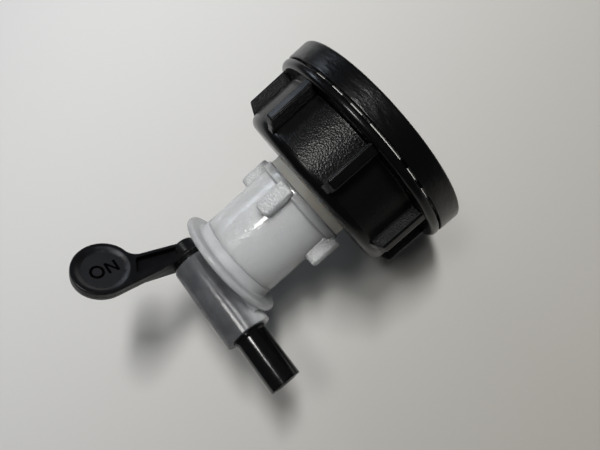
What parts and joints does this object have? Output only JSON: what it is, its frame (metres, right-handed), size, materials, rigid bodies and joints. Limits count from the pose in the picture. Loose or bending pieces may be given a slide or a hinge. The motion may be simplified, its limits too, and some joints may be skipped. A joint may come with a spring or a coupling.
{
  "type": "jerrycan screw cap with dispensing tap",
  "caption": "Black lugged screw cap for a plastic jerrycan, with a tamper ring and a translucent lever tap whose turning plug ends in a spout.",
  "frame": {"origin": "centre of the cap's mouth, in the plane of the tamper ring's lower edge", "axes": "+Z along the cap's thread axis from the mouth to the tap; +X along the tap's chamber towards the lever, so the spout points to -X; -Y is the side the closed lever leans to"},
  "size_m": [0.0854, 0.08, 0.1119],
  "materials": {
    "black_cap": "black polyethylene with a fine leather grain",
    "black_ring": "smooth black polyethylene",
    "white_wad": "foamed polyethylene wad",
    "cream_gasket": "cream elastomer",
    "milky_barrel": "milky translucent polyethylene",
    "natural_tap": "natural translucent polypropylene",
    "black_plug": "polished black polypropylene",
    "black_lever": "satin black polypropylene",
    "seal_rubber": "nitrile rubber"
  },
  "bodies": {
    "cap": {"cap_shell": "black_cap", "tamper_ring": "black_ring", "neck_seal": "white_wad", "tap_gasket": "cream_gasket", "barrel": "milky_barrel", "tap_body": "natural_tap"},
    "spout_plug": {"plug": "black_plug", "upper_o_ring": "seal_rubber", "lower_o_ring": "seal_rubber", "lever": "black_lever"}
  },
  "joints": [
    {"name": "lever_turn", "type": "hinge", "parent": "cap", "child": "spout_plug", "pos_m": [0, 0, 0.0819], "axis": [-1, 0, 0], "range_deg": [0, 90]}
  ]
}
